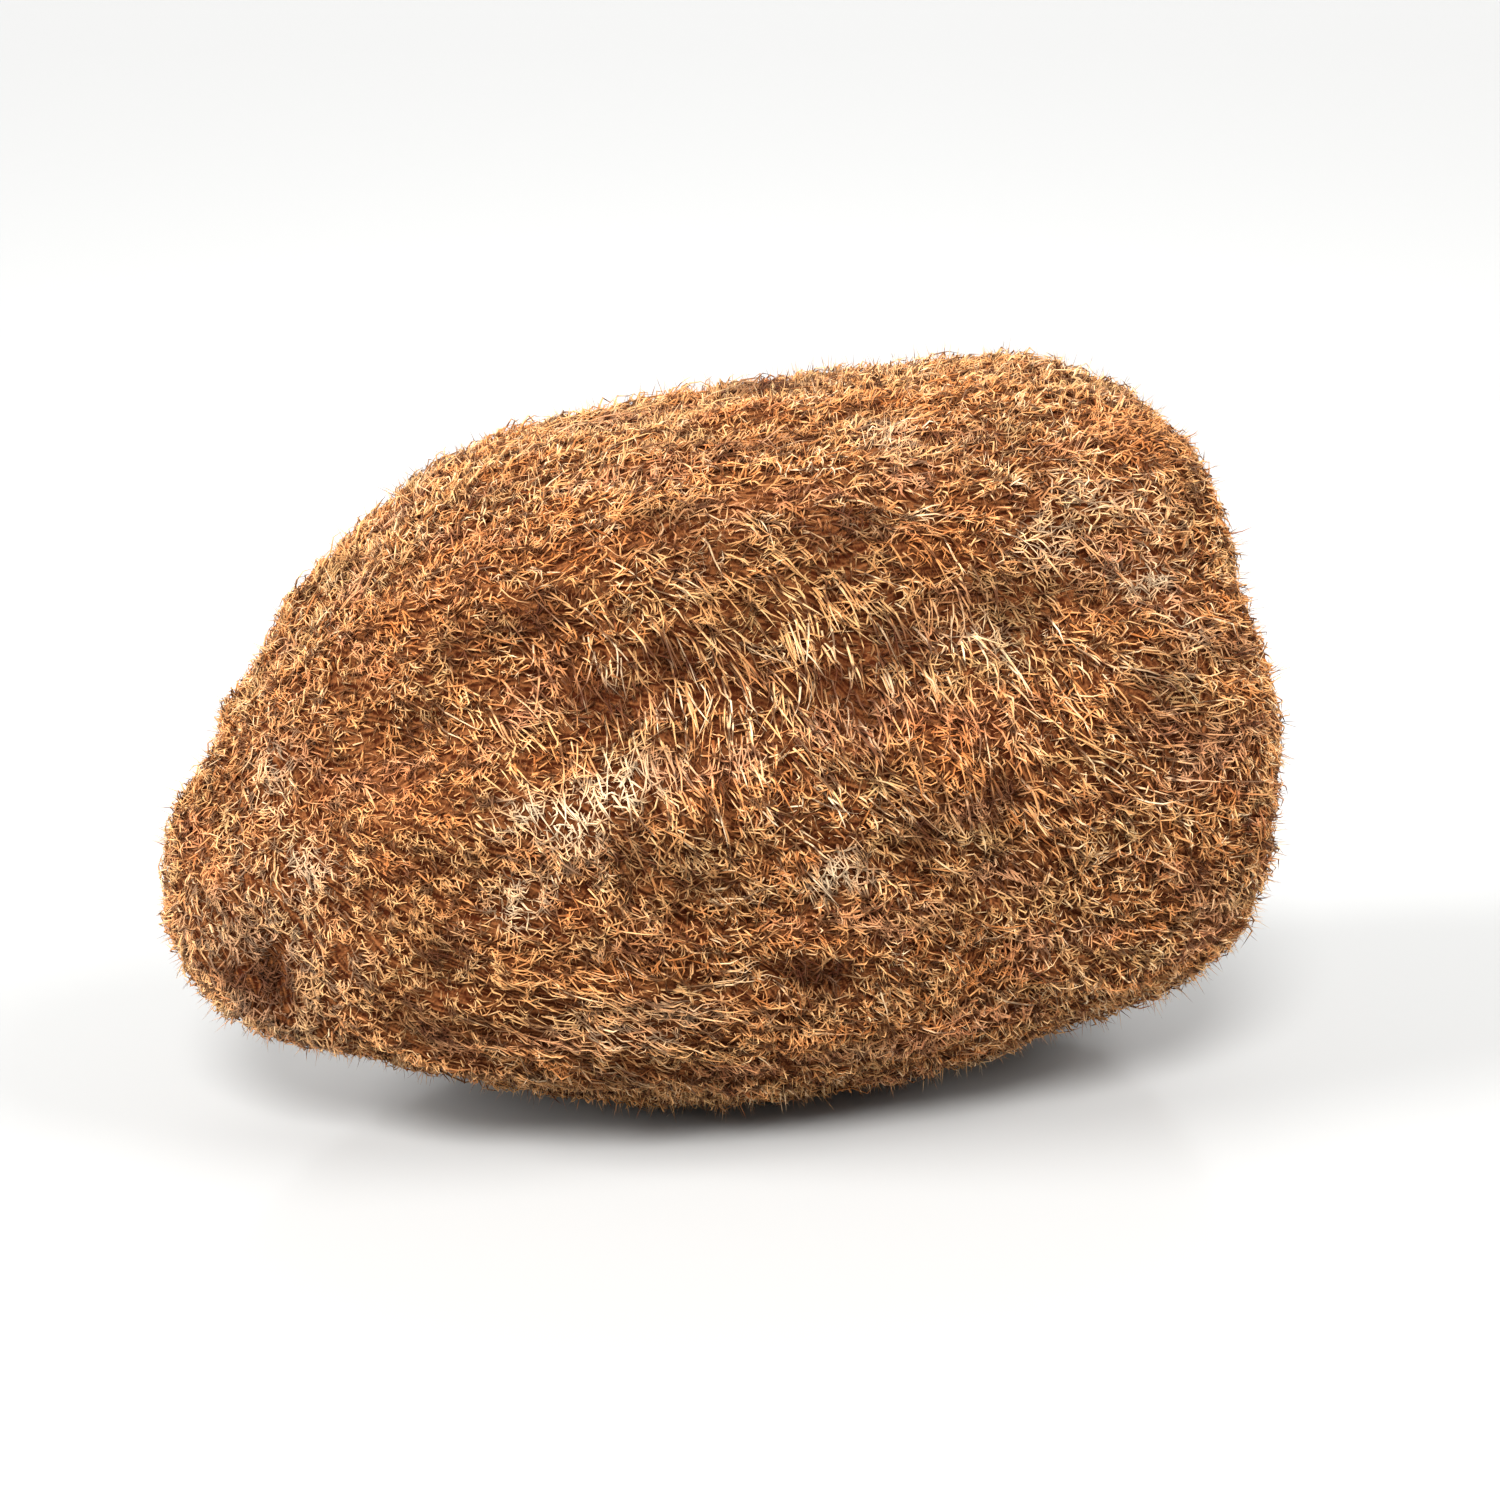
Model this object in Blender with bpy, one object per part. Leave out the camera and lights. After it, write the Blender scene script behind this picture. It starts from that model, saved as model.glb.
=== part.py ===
"""A coconut with its coir left on, lying on its side: one grown piece, so one solid.

The solid is the outer form of the matted coir: a blunt nose, a broad flat butt, three long ridges with
furrows between them, and tufts of stiffer fibre that stand out of the mat on every side.
Lengths are in millimetres and angles in degrees until the mesh is made, in metres, +Z up.
The origin is the middle of the flat spot that the nut rests on, below its centre of mass.
"""

import math
import random

import bmesh
import bpy
from mathutils import Matrix, Vector, noise
from mathutils.bvhtree import BVHTree

MM = 0.001

# The nut's own axis runs from the nose, at 0, to the butt.
LENGTH = 150.0
# Distance from the nose, then how far the coat stands above, below and to each side of the axis.
STATIONS = (
    (3.7, 12.0, 14.0, 13.0),
    (14.3, 24.5, 21.0, 24.0),
    (30.9, 41.5, 28.0, 35.0),
    (51.8, 52.0, 35.5, 43.5),
    (75.0, 53.5, 41.0, 47.0),
    (98.2, 54.5, 41.5, 47.5),
    (119.1, 53.5, 39.5, 46.0),
    (135.7, 51.0, 36.5, 43.0),
    (146.3, 41.0, 28.5, 32.0),
)
SQUARENESS = 2.2  # 2 is a plain oval section, and more fills its corners

# Angles go round the axis: 0 is the front flank, 90 the top, 180 the back flank and 270 the belly.
# Each long ridge or furrow: its angle at the nose and at the butt, height, and half-width in degrees.
RIDGES = (
    (30.0, 4.0, 2.8, 12.0),
    (39.0, 40.0, -2.6, 11.0),
    (60.0, 54.0, 1.6, 11.0),
    (124.0, 118.0, 3.4, 15.0),
    (180.0, 176.0, -1.6, 20.0),
    (236.0, 240.0, 3.0, 16.0),
    (300.0, 306.0, -1.2, 18.0),
)
RIDGE_START = 0.16  # share of the length over which the ridges rise from the nose
# A pit where the soft eye lies under the fibres: distance from the nose, angle, depth, radius.
EYE_PIT = (8.5, 345.0, 2.4, 6.0)

MAT_LUMP = 17.0  # span of the broad lumps in the mat
MAT_LUMP_HEIGHT = 0.9
CLUMP_WIDTH = 5.5  # combed clumps of fibre, across and along their lie
CLUMP_LENGTH = 22.0
CLUMP_STEPS = 5  # places along a clump where its height is sampled
CLUMP_HEIGHT = 3.4

PITCH = 5.5  # the nose lies lower than the butt
NOSE_HEIGHT = 32.6  # of its tip above the surface; what would lie lower is pressed flat
REST_AT = 84.3  # distance from the nose to the middle of the flat spot
REST_FADE = 4.5  # height over which the mat's lumps fade out towards the flat spot

MAT_SUBDIVISIONS = 6
MAT_KEPT = 0.3  # share of the fine mesh's faces that its relief needs

TUFT_COUNT = 195
TUFT_LENGTH = (10.0, 18.0)
TUFT_WIDTH = (1.7, 3.2)
TUFT_THICKNESS = 0.5  # as a share of its width
TUFT_SINK = 1.5
TUFT_BEND = 0.45  # where along its length it is widest
TUFT_BEND_HEIGHT = 0.5
TUFT_LIFT = (1.2, 2.6)  # how far the tip stands off the mat
TUFT_CLEAR = 5.0  # no tuft starts lower than this above the surface the nut rests on
TUFT_SPREAD = 38.0  # how far a tuft strays from the lie of its neighbours
TUFT_SEED = 11

# Takes a place measured from the nose, along and round the axis, to where it lies at rest.
LIE = Matrix.Translation((-REST_AT, 0.0, NOSE_HEIGHT)) @ Matrix.Rotation(math.radians(-PITCH), 4, "Y")

COIR_COLOUR = (0.337, 0.147, 0.060, 1.0)
COIR_ROUGHNESS = 0.9


def bell(distance, width):
    return math.exp(-((distance / width) ** 2))


def turn_between(angle, other):
    """The smaller turn between two angles, with its sign."""
    return (angle - other + 180.0) % 360.0 - 180.0


def along_share(distance):
    """0 at the nose and 1 at the butt, on a scale that makes a round end a straight line."""
    return math.acos(1.0 - 2.0 * min(max(distance / LENGTH, 0.0), 1.0)) / math.pi


def outline_at(share, column):
    """One outline of the nut, as a smooth curve through its stations."""
    knots = [(0.0, 0.0)]
    knots += [(along_share(row[0]), row[column]) for row in STATIONS]
    knots += [(1.0, 0.0)]
    last = len(knots) - 2
    index = next((i for i in range(last + 1) if share <= knots[i + 1][0]), last)

    def slope(i):
        low, high = max(i - 1, 0), min(i + 1, len(knots) - 1)
        return (knots[high][1] - knots[low][1]) / (knots[high][0] - knots[low][0])

    (start, first), (end, second) = knots[index], knots[index + 1]
    span = end - start
    t = (share - start) / span
    return (
        first * (1 + 2 * t) * (1 - t) ** 2
        + slope(index) * span * t * (1 - t) ** 2
        + second * t * t * (3 - 2 * t)
        - slope(index + 1) * span * t * t * (1 - t)
    )


def section_radius(share, angle):
    """Distance from the axis to the plain coat, before its ridges."""
    across, up = math.cos(math.radians(angle)), math.sin(math.radians(angle))
    height = outline_at(share, 1 if up >= 0 else 2)
    width = outline_at(share, 3)
    if min(height, width) <= 0:
        return 0.0
    n = SQUARENESS
    return (abs(across / width) ** n + abs(up / height) ** n) ** (-1.0 / n)


def ridge_rise(distance, angle):
    """How far the ridges, the furrows and the eye pit raise the coat."""
    share = distance / LENGTH
    grown = min(max(share / RIDGE_START - 0.25, 0.0), 1.0)
    rise = 0.0
    for nose_angle, butt_angle, height, width in RIDGES:
        line = nose_angle + (butt_angle - nose_angle) * share
        rise += height * bell(turn_between(angle, line), width) * grown
    pit_at, pit_angle, depth, radius = EYE_PIT
    round_by = math.radians(turn_between(angle, pit_angle)) * 15.0
    return rise - depth * bell(math.hypot(distance - pit_at, round_by), radius)


def combed(point, normal):
    """The lie of the fibres at a point of the mat, as a unit vector along its surface."""
    axial = Vector((1.0, 0.0, 0.0))
    axial -= normal * axial.dot(normal)
    if axial.length < 0.2:
        axial = Vector((0.3, 0.0, -1.0))
        axial -= normal * axial.dot(normal)
    axial.normalize()
    round_axis = normal.cross(axial)
    on_nut = LIE.inverted() @ point
    angle = math.degrees(math.atan2(on_nut.z, -on_nut.y))
    swept_down = 62.0 * bell(turn_between(angle, 38.0), 42.0) * bell(on_nut.x - 75.0, 52.0)
    over_nose = 80.0 * bell(on_nut.x, 24.0)
    strayed = 70.0 * noise.noise(point / 24.0)
    lie = math.radians(12.0 + max(swept_down, over_nose) + strayed)
    return (axial * math.cos(lie) - round_axis * math.sin(lie)).normalized()


def mat_relief(point, normal):
    """Height of the lumps and combed clumps of the mat."""
    lie = combed(point, normal)
    clump = 0.0
    for step in range(CLUMP_STEPS):
        along = CLUMP_LENGTH * ((step + 0.5) / CLUMP_STEPS - 0.5)
        clump += noise.noise((point + lie * along) / CLUMP_WIDTH) / CLUMP_STEPS
    return MAT_LUMP_HEIGHT * noise.noise(point / MAT_LUMP) + CLUMP_HEIGHT * clump


def nut_form(direction):
    """Where the coat lies in a direction from the middle of the nut, without its lumps."""
    share = math.acos(min(max(-direction.x, -1.0), 1.0)) / math.pi
    distance = LENGTH * (1.0 - math.cos(math.pi * share)) / 2.0
    turned = math.atan2(direction.z, -direction.y)
    angle = math.degrees(turned) % 360.0
    radius = section_radius(share, angle)
    # Near the two ends the ridges fade with the section, so that the ends close smoothly.
    radius += ridge_rise(distance, angle) * min(radius / 20.0, 1.0)
    return LIE @ Vector((distance, -radius * math.cos(turned), radius * math.sin(turned)))


def apply_modifier(thing, modifier):
    bpy.context.view_layer.objects.active = thing
    bpy.ops.object.modifier_apply(modifier=modifier.name)


def make_mat():
    """The matted coat: a fine ball pulled out to the nut's form, lumped, thinned and pressed flat."""
    ball = bmesh.new()
    bmesh.ops.create_icosphere(ball, subdivisions=MAT_SUBDIVISIONS, radius=1.0)
    for vertex in ball.verts:
        vertex.co = nut_form(vertex.co.normalized())
    ball.normal_update()
    for vertex, rise in [(v, mat_relief(v.co, v.normal)) for v in ball.verts]:
        vertex.co += vertex.normal * (rise * min(max(vertex.co.z / REST_FADE, 0.0), 1.0))
    mesh = bpy.data.meshes.new("coconut")
    ball.to_mesh(mesh)
    ball.free()
    mat = bpy.data.objects.new("coconut", mesh)
    bpy.context.scene.collection.objects.link(mat)
    thinned = mat.modifiers.new("thinned", "DECIMATE")
    thinned.ratio = MAT_KEPT
    apply_modifier(mat, thinned)
    for vertex in mat.data.vertices:
        vertex.co.z = max(vertex.co.z, 0.0)
    return mat


def tuft_roots(count):
    """Evenly spread directions over a ball."""
    golden = math.pi * (3.0 - math.sqrt(5.0))
    for index in range(count):
        along = 1.0 - 2.0 * (index + 0.5) / count
        ring = math.sqrt(1.0 - along * along)
        yield Vector((along, ring * math.cos(index * golden), ring * math.sin(index * golden)))


def add_tuft(collection, name, path, normals, lie, width):
    """One lock of fibre: a low three-sided section, closed at its root and pointed at its tip."""
    shape = bmesh.new()
    rings = []
    for centre, normal in zip(path[:-1], normals):
        side = normal.cross(lie).normalized() * (width / 2.0)
        ridge = normal * (width * TUFT_THICKNESS)
        corners = (centre - side - ridge / 3.0, centre + side - ridge / 3.0, centre + ridge * 2.0 / 3.0)
        rings.append([shape.verts.new(corner) for corner in corners])
    tip = shape.verts.new(path[-1])
    shape.faces.new(rings[0])
    for near, far in zip(rings, rings[1:]):
        for k in range(3):
            shape.faces.new((near[k], near[(k + 1) % 3], far[(k + 1) % 3], far[k]))
    for k in range(3):
        shape.faces.new((rings[-1][k], rings[-1][(k + 1) % 3], tip))
    bmesh.ops.triangulate(shape, faces=shape.faces[:])
    bmesh.ops.recalc_face_normals(shape, faces=shape.faces[:])
    mesh = bpy.data.meshes.new(name)
    shape.to_mesh(mesh)
    shape.free()
    collection.objects.link(bpy.data.objects.new(name, mesh))


def add_tufts(collection, mat):
    """Locks of fibre over the whole nut, clear of the surface it rests on."""
    draw = random.Random(TUFT_SEED)
    surface = BVHTree.FromObject(mat, bpy.context.evaluated_depsgraph_get())
    middle = LIE @ Vector((LENGTH * 0.5, 0.0, 4.0))
    for index, direction in enumerate(tuft_roots(TUFT_COUNT)):
        root, normal, _, _ = surface.ray_cast(middle, direction)
        length = draw.uniform(*TUFT_LENGTH)
        width = draw.uniform(*TUFT_WIDTH)
        lift = draw.uniform(*TUFT_LIFT)
        stray = Matrix.Rotation(math.radians(draw.uniform(-1, 1) * TUFT_SPREAD), 3, normal)
        lie = stray @ combed(root, normal)
        path, normals = [], []
        for share, height in ((0.0, -TUFT_SINK), (TUFT_BEND, TUFT_BEND_HEIGHT), (1.0, lift)):
            place, facing, _, _ = surface.find_nearest(root + lie * (length * share))
            path.append(place + facing * height)
            normals.append(facing)
        if min(point.z for point in path) > TUFT_CLEAR:
            add_tuft(collection, f"tuft_{index:03d}", path, normals, lie, width)


def coir_material():
    material = bpy.data.materials.new("coir")
    material.use_nodes = True
    shader = material.node_tree.nodes["Principled BSDF"]
    shader.inputs["Base Color"].default_value = COIR_COLOUR
    shader.inputs["Roughness"].default_value = COIR_ROUGHNESS
    shader.inputs["Metallic"].default_value = 0.0
    return material


def fuse_tufts(mat, tufts):
    """Joins the tufts to the mat they grow from, and clears them away."""
    union = mat.modifiers.new("tufts", "BOOLEAN")
    union.operation = "UNION"
    union.operand_type = "COLLECTION"
    union.collection = tufts
    union.solver = "EXACT"
    apply_modifier(mat, union)
    for tuft in list(tufts.objects):
        bpy.data.objects.remove(tuft)
    bpy.data.collections.remove(tufts)


def main():
    for old in list(bpy.data.objects):
        bpy.data.objects.remove(old)
    nut = make_mat()
    tufts = bpy.data.collections.new("tufts")
    bpy.context.scene.collection.children.link(tufts)
    add_tufts(tufts, nut)
    fuse_tufts(nut, tufts)
    nut.data.transform(Matrix.Scale(MM, 4))
    nut.data.materials.append(coir_material())


if __name__ == "__main__":
    main()
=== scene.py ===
"""Looks of a coconut with its coir left on: the matted coat, the fibres that cover it, and a pale studio.

Run as a script in Blender. The coat repeats the form of the solid nut, in millimetres until its mesh is
made; everything that a user would change is in metres in the settings below.
"""

import math
import random
from functools import partial

import bmesh
import bpy
from bpy.props import FloatProperty, FloatVectorProperty, IntProperty, PointerProperty
from mathutils import Matrix, Vector, noise
from mathutils.bvhtree import BVHTree


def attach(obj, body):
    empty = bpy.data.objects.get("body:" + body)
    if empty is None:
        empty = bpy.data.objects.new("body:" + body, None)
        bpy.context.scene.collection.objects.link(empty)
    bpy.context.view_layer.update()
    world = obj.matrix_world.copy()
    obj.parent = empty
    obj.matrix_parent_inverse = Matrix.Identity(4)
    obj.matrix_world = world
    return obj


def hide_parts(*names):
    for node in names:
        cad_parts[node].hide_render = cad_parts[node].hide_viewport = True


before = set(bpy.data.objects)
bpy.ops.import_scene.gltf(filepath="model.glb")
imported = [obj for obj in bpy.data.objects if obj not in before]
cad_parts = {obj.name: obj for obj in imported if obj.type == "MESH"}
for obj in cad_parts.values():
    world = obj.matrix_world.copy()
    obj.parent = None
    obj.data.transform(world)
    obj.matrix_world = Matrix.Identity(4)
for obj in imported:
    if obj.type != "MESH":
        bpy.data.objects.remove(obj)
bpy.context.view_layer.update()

bl_info = {
    "name": "Coconut in its coir",
    "version": (1, 0, 0),
    "blender": (4, 5, 0),
    "location": "3D View > Sidebar > Coconut",
    "description": "Builds the coat, the fibres and the studio of a coconut around its solid",
    "category": "Object",
}

MM = 0.001
BODY = "root"
NODE = "coconut"

# The nut's own axis runs from the nose, at 0, to the butt.
LENGTH = 150.0
# Distance from the nose, then how far the coat stands above, below and to each side of the axis.
STATIONS = (
    (3.7, 12.0, 14.0, 13.0),
    (14.3, 24.5, 21.0, 24.0),
    (30.9, 41.5, 28.0, 35.0),
    (51.8, 52.0, 35.5, 43.5),
    (75.0, 53.5, 41.0, 47.0),
    (98.2, 54.5, 41.5, 47.5),
    (119.1, 53.5, 39.5, 46.0),
    (135.7, 51.0, 36.5, 43.0),
    (146.3, 41.0, 28.5, 32.0),
)
# 2 is a plain oval section, and more fills its corners.
SQUARENESS = 2.2

# Angles go round the axis: 0 is the front flank, 90 the top, 180 the back flank and 270 the belly.
# Each long ridge or furrow: its angle at the nose and at the butt, height, and half-width in degrees.
RIDGES = (
    (30.0, 4.0, 2.8, 12.0),
    (39.0, 40.0, -2.6, 11.0),
    (60.0, 54.0, 1.6, 11.0),
    (124.0, 118.0, 3.4, 15.0),
    (180.0, 176.0, -1.6, 20.0),
    (236.0, 240.0, 3.0, 16.0),
    (300.0, 306.0, -1.2, 18.0),
)
# Share of the length over which the ridges rise from the nose, and how late they begin, as a share of that.
RIDGE_START = 0.16
RIDGE_DELAY = 0.25
# Ridges also fade where the coat is nearer the axis than this.
RIDGE_FADE = 20.0
# Distance from the nose, angle, depth and radius of the pit where the soft eye lies, then how far it is from
# the nut's own axis.
EYE_PIT = (8.5, 345.0, 2.4, 6.0)
EYE_PIT_AT_RADIUS = 15.0

# Broad lumps of the mat, then its combed clumps, and the finest strands of its surface. Steps are the places
# along a clump or strand where its height is sampled.
MAT_LUMP = 17.0
MAT_LUMP_HEIGHT = 0.9
CLUMP_WIDTH = 5.5
CLUMP_LENGTH = 22.0
CLUMP_STEPS = 5
CLUMP_HEIGHT = 3.4
STRAND_WIDTH = 1.8
STRAND_LENGTH = 7.0
STRAND_STEPS = 5
# Noise averaged along a strand is weak, so it is raised this many times.
STRAND_GAIN = 2.0
# Times the ball of the coat that the fibres grow from is divided; the mat's own is a setting.
HOST_LEVEL = 6

# The nose lies lower than the butt, and what would lie below the surface is pressed flat round REST_AT. The
# mat's lumps fade out over the lowest REST_FADE.
PITCH = 5.5
NOSE_HEIGHT = 32.6
REST_AT = 84.3
REST_FADE = 4.5
LIE = Matrix.Translation((-REST_AT, 0.0, NOSE_HEIGHT)) @ Matrix.Rotation(math.radians(-PITCH), 4, "Y")
TO_NUT = LIE.inverted()

# How the coir lies, as an angle in degrees down from the nut's own length: the longer strands, then the short
# felt, which hangs down the flanks and runs along the nut on its top. A sweep is written like a patch below,
# with its angle as its strength. So is the stretch near the nose where the coir is gathered, with the share
# of the angle that it takes away. Then come the reach of the turn round the nose, the size of the noise by
# which the coir strays, and how much more it strays where it is swept.
STRAND_LIE = dict(
    sweep=(78, 34, 52, 34, 62.0), gather=(36, 342, 28, 34, 0.9),
    nose_reach=17.0, stray_size=24.0, stray_swept=0.0,
)
FELT_LIE = dict(
    sweep=(95, 358, 56, 44, 75.0), gather=(36, 342, 28, 34, 0.85),
    nose_reach=20.0, stray_size=13.0, stray_swept=1.0,
)
LEAST_TURN = 4.0
NOSE_TURN = 85.0
STRAY_TURN = 60.0
NUT_LENGTHWISE = Vector((1.0, 0.0, 0.0))
# Where the surface faces along the nut, so that its length gives no direction, the coir hangs.
FACING_ALONG = 0.2
HANGING = Vector((0.3, 0.0, -1.0))

# Patches of the coat: distance from the nose in mm, angle, half-length in mm, half-width in
# degrees, and strength.
COMBED_PATCHES = (
    (72, 36, 28, 14, 1.0),
    (112, 20, 22, 16, 0.5),
    (44, 340, 16, 14, 0.7),
    (80, 185, 38, 20, 0.9),
    (55, 108, 30, 12, 0.5),
    (110, 262, 34, 22, 0.7),
)
# Where the coir is packed flat and fine.
PACKED_PATCHES = (
    (20, 0, 26, 55, 1.0),
    (62, 334, 30, 14, 0.7),
    (24, 180, 22, 60, 0.9),
)
# Pale coir, partly its own colour and partly painted highlight, which lies along the crests of the ridges.
PALE_AND_HIGHLIGHT_PATCHES = (
    (44, 20, 5, 4, 1.4),
    (52, 22, 4, 3, 1.3),
    (78, 4, 2, 2, 1.2),
    (125, 52, 5, 4, 0.4),
    (131, 49, 4, 4, 0.4),
    (115, 46, 5, 3, 0.4),
    (128, 41, 2, 2, 0.9),
    (8, 345, 9, 50, 0.25),
    (13, 25, 3, 14, 0.5),
    (13, 52, 3, 18, 0.4),
    (37, 7, 4, 3, 0.8),
    (99, 68, 2, 6, 0.4),
    (55, 340, 10, 3, 0.25),
    (104, 34, 4, 2, 0.6),
    (132, 29, 3, 2, 0.6),
    (60, 124, 24, 5, 0.7),
    (105, 236, 26, 5, 0.7),
    (88, 160, 9, 4, 0.8),
)
# Grey, weathered coir; along the furrows its darkening is painted shade.
GREY_AND_SHADE_PATCHES = (
    (74, 46, 11, 6, 0.9),
    (88, 41, 8, 4, 0.7),
    (110, 39, 10, 4, 0.9),
    (28, 350, 11, 13, 0.6),
    (34, 19, 6, 5, 0.7),
    (57, 6, 7, 5, 0.5),
    (90, 8, 6, 5, 0.5),
    (127, 22, 8, 6, 0.5),
    (96, 190, 26, 14, 0.8),
    (40, 150, 14, 14, 0.7),
)
RUSSET_PATCHES = (
    (93, 20, 5, 4, 1.0),
    (133, 64, 7, 7, 0.9),
    (45, 64, 18, 9, 0.5),
    (78, 66, 18, 8, 0.4),
    (32, 64, 8, 8, 0.8),
    (28, 33, 8, 6, 0.7),
    (106, 82, 14, 6, 0.6),
    (98, 47, 7, 3, 0.8),
    (15, 66, 4, 14, 0.7),
    (47, 352, 9, 4, 0.8),
    (66, 344, 6, 3, 0.7),
    (70, 140, 16, 8, 0.7),
    (118, 215, 12, 9, 0.7),
)
# Painted shade: dark patches, most along the furrow and one at the eye pit.
PAINTED_SHADE_PATCHES = (
    (46, 53, 3, 3, 1.1),
    (38, 54, 3, 2, 1.1),
    (52, 38, 4, 5, 1.0),
    (61, 40, 4, 4, 1.0),
    (72, 36, 4, 4, 0.7),
    (82, 30, 4, 4, 1.2),
    (91, 35, 4, 4, 1.0),
    (106, 40, 6, 3, 0.6),
    (117, 39, 5, 3, 0.8),
    (124, 22, 5, 5, 0.8),
    (136, 26, 3, 3, 0.9),
    (64, 60, 5, 2, 0.8),
    (67, 55, 5, 2, 0.8),
    (88, 53, 6, 3, 1.0),
    (75, 347, 3, 4, 1.3),
    (88, 9, 3, 4, 1.0),
    (99, 12, 3, 3, 1.0),
    (117, 60, 3, 3, 0.8),
    (29, 44, 3, 3, 0.9),
    (52, 12, 3, 3, 0.7),
    (58, 5, 4, 3, 0.8),
    (29, 355, 4, 4, 0.8),
    (26, 337, 5, 7, 0.8),
    (8, 334, 4, 15, 1.5),
    (6, 5, 3, 12, 0.6),
    (129, 348, 3, 4, 0.6),
    (95, 101, 5, 4, 1.4),
    (84, 73, 5, 3, 0.7),
    (112, 66, 4, 3, 0.7),
)
# Width and reach of the fraying of every patch's edge, and where its noise is read for each axis.
PATCH_FRAY_SIZE = 6.0
PATCH_FRAY = 4.0
FRAY_SHIFTS = (Vector((31.0, 0.0, 0.0)), Vector((0.0, 47.0, 0.0)), Vector((0.0, 0.0, 59.0)))
# Away from the flank that the photo shows, patches of painted shade fall by chance: number, seed, and the
# range of each value that a patch has.
HIDDEN_DARK_PATCHES = 26
HIDDEN_DARK_SEED = 8
HIDDEN_DARK_RANGES = ((20.0, 142.0), (110.0, 325.0), (2.5, 8.0), (2.0, 4.5), (0.5, 1.0))


def hidden_dark_patches():
    """Patches of painted shade over the top, the back and the belly."""
    draw = random.Random(HIDDEN_DARK_SEED)
    return tuple(
        tuple(draw.uniform(*limits) for limits in HIDDEN_DARK_RANGES) for _ in range(HIDDEN_DARK_PATCHES)
    )


# The layers and the mat read these from the coat.
PATCHES = {
    "combed": COMBED_PATCHES,
    "packed": PACKED_PATCHES,
    "pale": PALE_AND_HIGHLIGHT_PATCHES,
    "grey": GREY_AND_SHADE_PATCHES,
    "russet": RUSSET_PATCHES,
    "dark": PAINTED_SHADE_PATCHES + hidden_dark_patches(),
}

# Locks of stiffer fibre: number, ranges of length, width and lift, sideways spread, clear height, and seed.
TUFT_COUNT = 195
TUFT_LENGTH = (10.0, 18.0)
TUFT_WIDTH = (1.7, 3.2)
TUFT_LIFT = (1.2, 2.6)
TUFT_SPREAD = 38.0
TUFT_CLEAR = 5.0
TUFT_SEED = 11
# How high above the nut's own axis the rays start that find where each lock is rooted.
TUFT_MIDDLE = 4.0
# Strands of a lock are rooted across this share of its width to each side and over this range of its length,
# and lean together towards its tip by as much as they are spread.
STRANDS_IN_LOCK = 8
LOCK_SPREAD = 0.8
LOCK_START = (-0.1, 0.35)

# Width and depth of the small pits between the felt's tufts, and the noise where one begins and is deepest.
PIT_SIZE = 1.8
PIT_DEPTH = 1.1
PIT_NOISE = (0.5, 0.35)
# The noise of the gaps between clumps: below the first value coir is thin, and above the second it is full.
GAP_NOISE = (0.42, 0.58)
# Packed coir is this much shorter, flatter, finer, more even in colour and denser, as shares.
PACKED_SHORTER = 0.25
PACKED_FLATTER = 0.75
PACKED_FINER = 0.3
PACKED_EVENER = 0.5
PACKED_DENSER = 0.5
# How much a clump differs from the others in the rise and in the tint of all its fibres.
CLUMP_SWELL = 2.4
CLUMP_TINT = 0.9
# A fibre's radius as a share of its layer's diameter, how much of it is lost at the tip, and the distance in
# which the corners of the tip become one point.
FIBRE_RADIUS = (0.28, 0.5)
TIP_TAPER = 0.98
TIP_MERGE = 0.01
# Every fibre bends by this at least, in radians, because the length of a chord is divided by it.
LEAST_BEND = 0.001
# No fibre is rooted lower than this, and no point of one lies lower than this share of its layer's diameter.
ROOT_CLEAR = 0.3
POINT_CLEAR = 0.7

# Samples that draw a noise out along the coir, and the noises in the colours: the dark gaps between the
# fibres, which are painted shade, the strands of the mat with the share of light that their painted shade
# takes away where the coir is combed, and the broad streaks, which are 1 / CLOUD_SHORTENED times as long as
# wide.
STREAK_STEPS = 6
GAP_WIDTH = 1.3
GAP_LENGTH = 2.0
MAT_STRAND_WIDTH = 0.45
MAT_STRAND_LENGTH = 2.5
COMBED_DARKER = 0.6
CLOUD_SIZE = 6.0
CLOUD_SHORTENED = 0.4

# Half the side of the table, in metres.
TABLE_HALF = 6.0
# What the camera looks at, and its lens and sensor.
CAMERA_TARGET = (-2.6, -0.1, 47.0)
CAMERA_LENS = 85.0
CAMERA_SENSOR = 36.0
# Glow of the room's walls and ceiling, then each softbox: its azimuth from the front, elevation and apparent
# width in degrees, and its strength in watts per square metre.
WALL_GLOW = 0.60
CEILING_GLOW = 0.32
SOFTBOXES = (
    ("left softbox", -90.0, 28.0, 30.0, 4.6),
    ("right softbox", 50.0, 40.0, 34.0, 2.5),
    ("front softbox", -25.0, 43.0, 20.0, 4.0),
    ("back softbox", 160.0, 35.0, 50.0, 1.0),
)


def linear(hex_colour):
    """An sRGB hex colour as the linear colour that a shader takes."""
    parts = [int(hex_colour[i : i + 2], 16) / 255.0 for i in (0, 2, 4)]
    return tuple(p / 12.92 if p <= 0.04045 else ((p + 0.055) / 1.055) ** 2.4 for p in parts) + (1.0,)


def colour_property(title, words, hex_colour):
    return FloatVectorProperty(
        name=title, description=words, default=linear(hex_colour), size=4, min=0.0, max=1.0, subtype="COLOR"
    )


def length_property(title, words, millimetres):
    return FloatProperty(
        name=title, description=words, default=millimetres * MM,
        unit="LENGTH", subtype="DISTANCE", precision=5,
    )


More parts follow.
